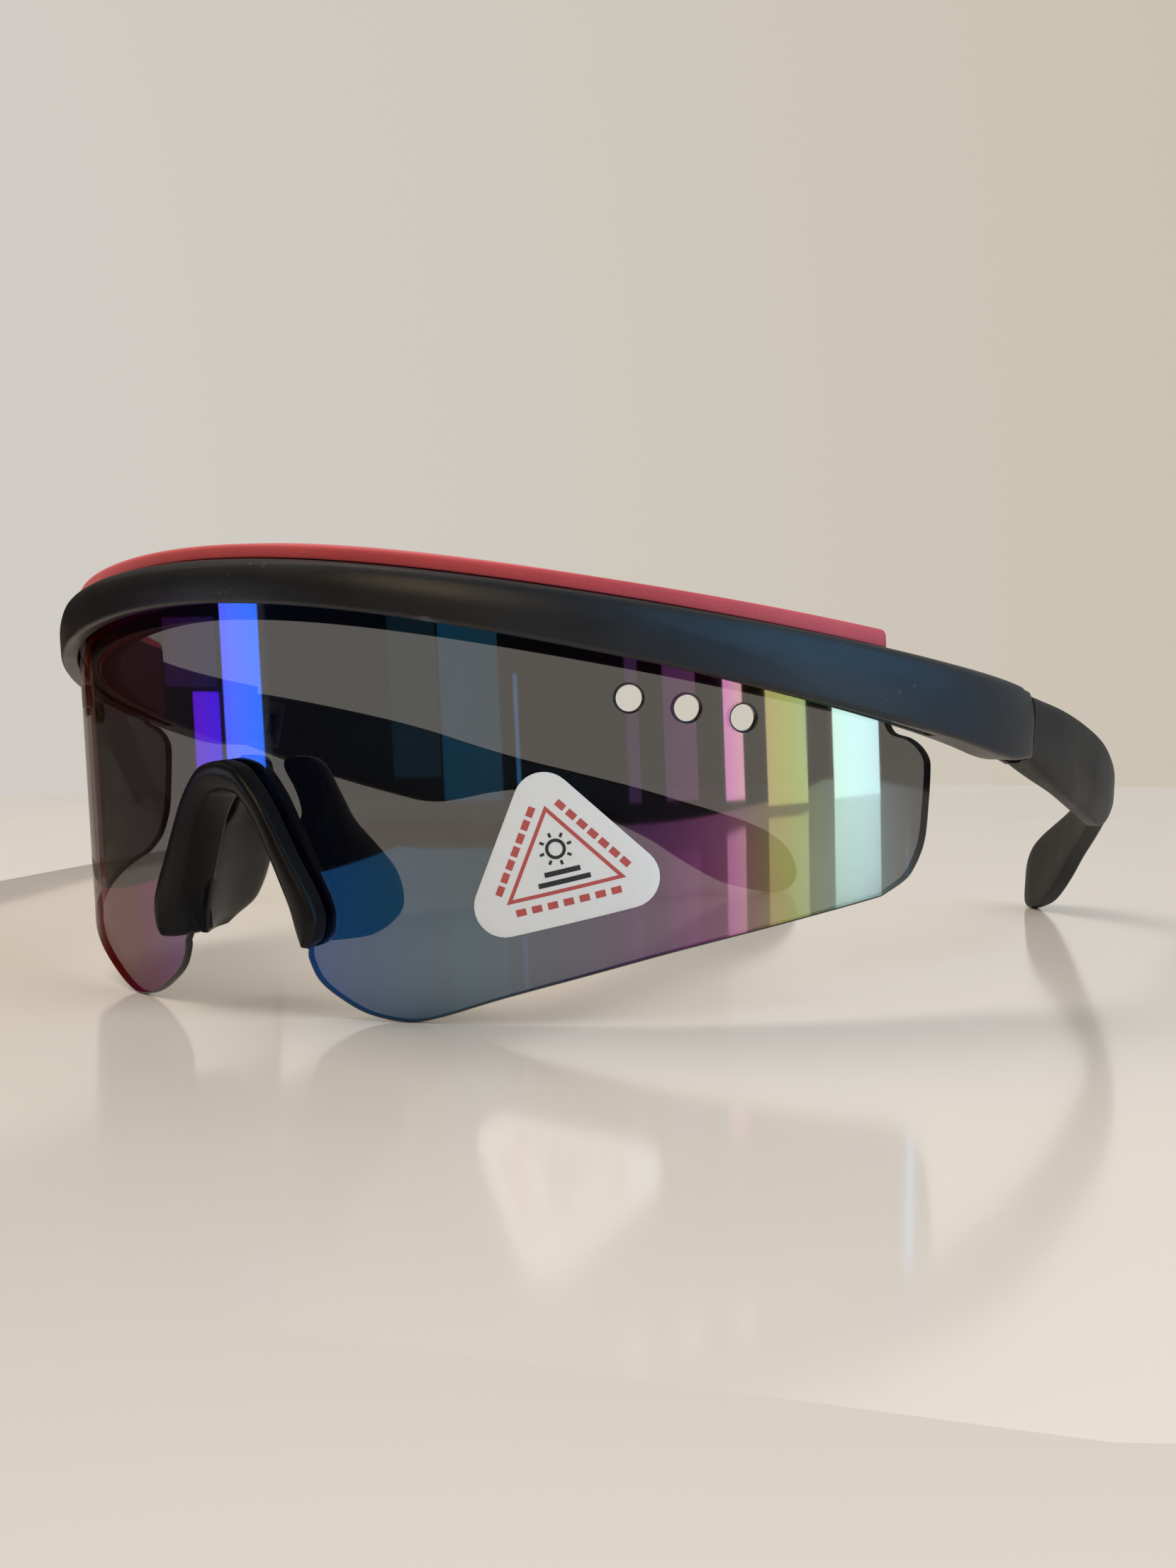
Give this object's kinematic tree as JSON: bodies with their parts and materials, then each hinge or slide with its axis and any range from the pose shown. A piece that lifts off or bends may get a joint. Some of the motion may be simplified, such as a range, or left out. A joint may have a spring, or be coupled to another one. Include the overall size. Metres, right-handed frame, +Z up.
{
  "type": "sports sunglasses",
  "caption": "Wrap-round shield sunglasses: one mirrored lens held in a half-frame bar, a red sweat pad, a clip-on nosepiece, a label and folding temples on screw hinges.",
  "frame": {"origin": "middle of the footprint's bounding box, on the surface that the sunglasses stand on", "axes": "+X towards the wearer's left, -Y the way the wearer looks, +Z up"},
  "size_m": [0.1468, 0.1762, 0.0589],
  "materials": {
    "lens_coating": "smoke grey polycarbonate with a rainbow mirror coating, see-through",
    "frame_plastic": "soft-touch matte black, lightly scuffed",
    "pad_rubber": "matte red moulded rubber",
    "nose_rubber": "semi-gloss black soft rubber",
    "temple_plastic": "matte black moulded nylon",
    "screw_steel": "small bright screw with a slotted head",
    "label_film": "white vinyl film with a plain red triangle"
  },
  "bodies": {
    "face": {"lens": "lens_coating", "brow_frame": "frame_plastic", "brow_pad": "pad_rubber", "nosepiece": "nose_rubber", "lens_label": "label_film"},
    "left_arm": {"temple_left": "temple_plastic", "hinge_screw_left": "screw_steel"},
    "right_arm": {"temple_right": "temple_plastic", "hinge_screw_right": "screw_steel"}
  },
  "joints": [
    {"name": "left_fold", "type": "hinge", "parent": "face", "child": "left_arm", "pos_m": [0.06968, -0.00902, 0.03406], "axis": [-0.0403, 0.2189, 0.9749], "range_deg": [0, 90]},
    {"name": "right_fold", "type": "hinge", "parent": "face", "child": "right_arm", "pos_m": [-0.06968, -0.00902, 0.03406], "axis": [-0.0403, -0.2189, -0.9749], "range_deg": [0, 66]}
  ]
}
